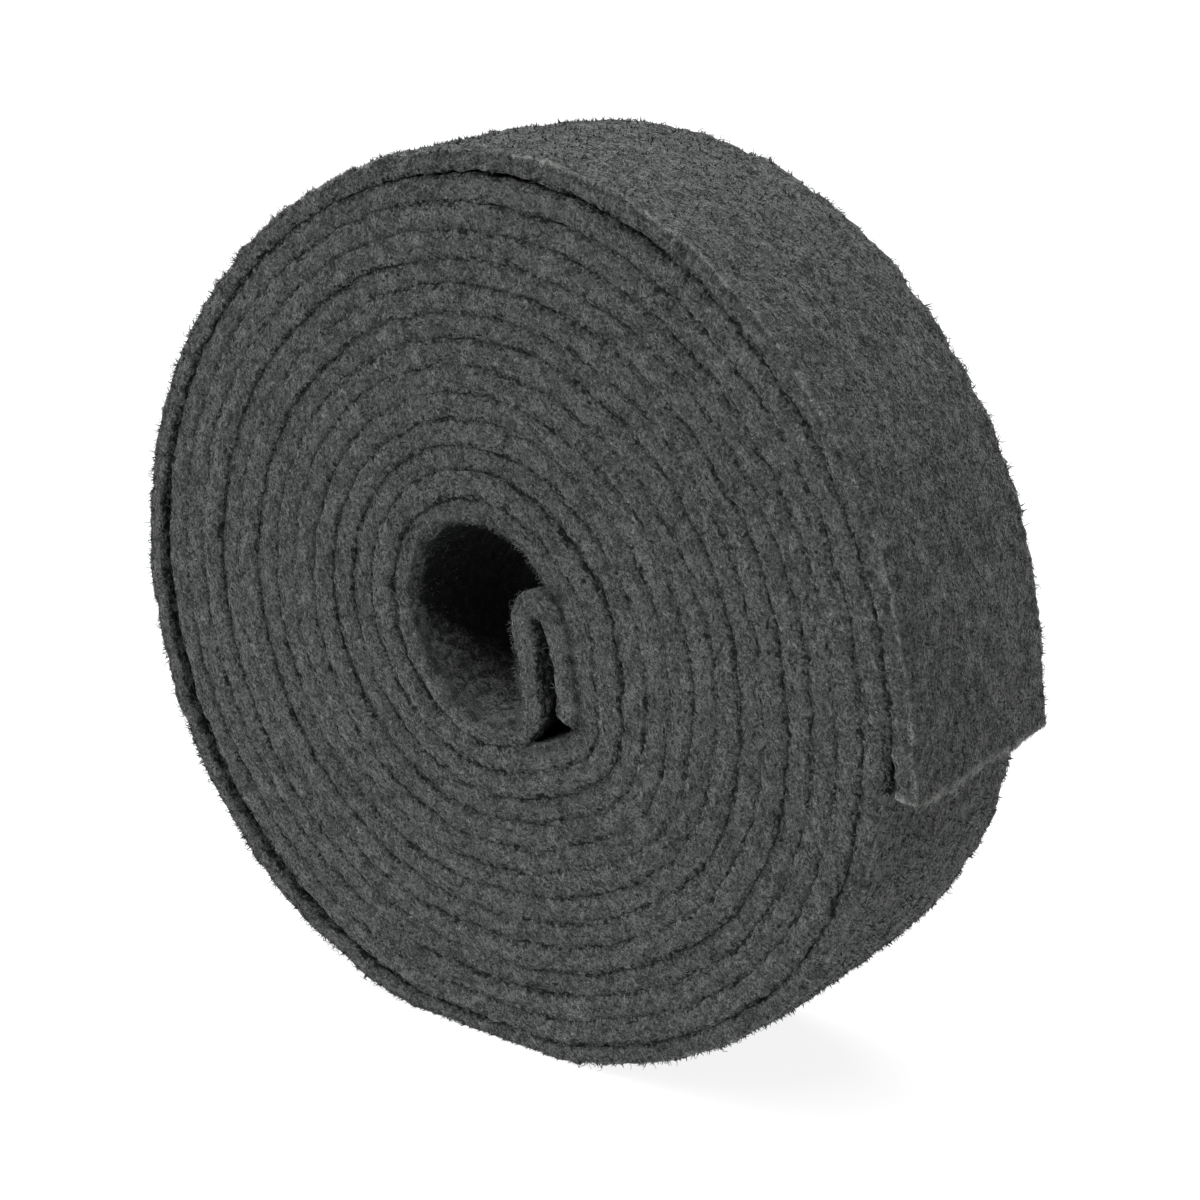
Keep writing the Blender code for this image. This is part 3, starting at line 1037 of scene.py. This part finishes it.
def fibre_material(name, dark, pale):
    """Single fibres, some pale and some coated dark, with a grain of grit on them."""
    nodes = Nodes(name)
    place = nodes.object_place()
    shade = nodes.ramp(nodes.noise(place, *SHADE_NOISE), *FIBRE_SHADE)
    grit = nodes.ramp(nodes.noise(place, *GRIT_NOISE), *FIBRE_GRIT)
    colour = nodes.mix(nodes.product(shade, grit), dark, pale)
    nodes.link(colour, nodes.shader.inputs["Base Color"])
    nodes.link(nodes.ramp(shade, *FIBRE_ROUGHNESS), nodes.shader.inputs["Roughness"])
    nodes.link(nodes.bump(grit, GRIT_BUMP_STRENGTH, GRIT_BUMP), nodes.shader.inputs["Normal"])
    nodes.shader.inputs["Specular IOR Level"].default_value = FIBRE_SPECULAR
    return nodes.material


# The studio: the camera's values are those that fit the photograph for a roll of this radius

FLOOR_SIZE = 80.0
FLOOR_TONE = 0.20
FLOOR_GLOW = 0.88
FLOOR_ROUGHNESS = 0.9
FLOOR_SPECULAR = 0.1
WORLD_STRENGTH = 0.10
TOP_LIGHT = ((-0.40, -0.15, 1.0), 100.0, 5.5)
FRONT_LIGHT = ((-0.35, -1.0, 0.65), 50.0, 0.25)
FIT_RADIUS = 0.190
CAMERA_YAW = 0.6438
CAMERA_PITCH = 0.3166
CAMERA_DISTANCE = 5.413 * FIT_RADIUS
CAMERA_LEFT = 0.0883 * FIT_RADIUS
CAMERA_DOWN = 0.003 * FIT_RADIUS
CAMERA_LENS = 74.66
CAMERA_SENSOR = 36.0


def view_axes():
    """The camera's right, up and back directions."""
    right = Vector((math.cos(CAMERA_YAW), math.sin(CAMERA_YAW), 0.0))
    back = Vector((math.sin(CAMERA_YAW) * math.cos(CAMERA_PITCH),
                   -math.cos(CAMERA_YAW) * math.cos(CAMERA_PITCH), math.sin(CAMERA_PITCH)))
    return right, back.cross(right), back


def add_object(name, data):
    """An object in the scene that holds some data."""
    added = bpy.data.objects.new(name, data)
    bpy.context.scene.collection.objects.link(added)
    return added


def make_camera():
    """The camera at the photograph's viewing angle."""
    right, up, back = view_axes()
    data = bpy.data.cameras.new("camera")
    data.lens = CAMERA_LENS
    data.sensor_width = CAMERA_SENSOR
    data.sensor_fit = "HORIZONTAL"
    camera = add_object("camera", data)
    camera.location = (Vector((0.0, 0.0, axis_height())) + CAMERA_LEFT * right - CAMERA_DOWN * up
                       + CAMERA_DISTANCE * back)
    camera.rotation_euler = back.to_track_quat("Z", "Y").to_euler()
    bpy.context.scene.camera = camera


def make_soft_light(name, source, width, strength):
    """A very wide distant light that comes from a direction, as from a softbox."""
    data = bpy.data.lights.new(name, "SUN")
    data.angle = math.radians(width)
    data.energy = strength
    light = add_object(name, data)
    light.rotation_euler = Vector(source).to_track_quat("Z", "Y").to_euler()


def make_floor():
    """A wide pale floor that glows a little, so that it stays white round the roll."""
    nodes = Nodes("pale_floor")
    nodes.shader.inputs["Base Color"].default_value = (FLOOR_TONE, FLOOR_TONE, FLOOR_TONE, 1.0)
    nodes.shader.inputs["Emission Color"].default_value = WHITE
    nodes.shader.inputs["Emission Strength"].default_value = FLOOR_GLOW
    nodes.shader.inputs["Roughness"].default_value = FLOOR_ROUGHNESS
    nodes.shader.inputs["Specular IOR Level"].default_value = FLOOR_SPECULAR
    half = FLOOR_SIZE / 2
    mesh = bpy.data.meshes.new("studio_floor")
    corners = [(-half, -half, 0), (half, -half, 0), (half, half, 0), (-half, half, 0)]
    mesh.from_pydata(corners, [], [(0, 1, 2, 3)])
    mesh.materials.append(nodes.material)
    floor = add_object("studio_floor", mesh)


def make_world():
    """Faint white light from all round."""
    world = bpy.data.worlds.new("studio_light")
    world.use_nodes = True
    background = world.node_tree.nodes["Background"]
    background.inputs["Color"].default_value = WHITE
    background.inputs["Strength"].default_value = WORLD_STRENGTH
    bpy.context.scene.world = world


def make_studio():
    """The camera, the lights and the floor."""
    make_camera()
    make_world()
    make_floor()
    make_soft_light("softbox_top", *TOP_LIGHT)
    make_soft_light("softbox_front", *FRONT_LIGHT)
    view = bpy.context.scene.view_settings
    view.view_transform = "Standard"
    view.look = "None"


def make_roll():
    """The wound strip in three lengths, with its loose fibres and bristles."""
    strip = Strip()
    core_end = strip.run_at(CORE_PIECE_TURNS)
    outer_start = strip.run_at(OUTER_PIECE_TURNS)
    web = web_material()
    pieces = [
        strip_piece(strip, "core_turn", 0.0, core_end, CORE_STATION, CORE_WALL_QUADS, web,
                    cut_start=CUT_END_CROWN),
        strip_piece(strip, "inner_turns", core_end, outer_start, TURN_STATION, INNER_WALL_QUADS, web),
        strip_piece(strip, "outer_turn", outer_start, strip.length, RIM_STATION, RIM_WALL_QUADS, web,
                    cut_end=CUT_END_CROWN),
    ]
    for piece in pieces:
        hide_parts("wound_strip")
    fibres = fibre_material("loose_fibres", DARK_FIBRE_COLOUR, FIBRE_COLOUR)
    fringe = fibre_material("frayed_fibres", STRAND_COLOUR, FRINGE_COLOUR)
    face_fibres(strip, "front", FRONT_FIBRES, FIBRE_SEED + 1, fibres)
    face_fibres(strip, "back", BACK_FIBRES, FIBRE_SEED + 2, fibres)
    rim_fibres(strip, RIM_FIBRES, FIBRE_SEED + 3, fibres)
    rim_bristles(strip, FIBRE_SEED + 4, fibres)
    edge_fibres(strip, FIBRE_SEED + 5, fibres)
    tail_fibres(strip, TAIL_FIBRES, FIBRE_SEED + 6, fringe)


make_roll()
make_studio()
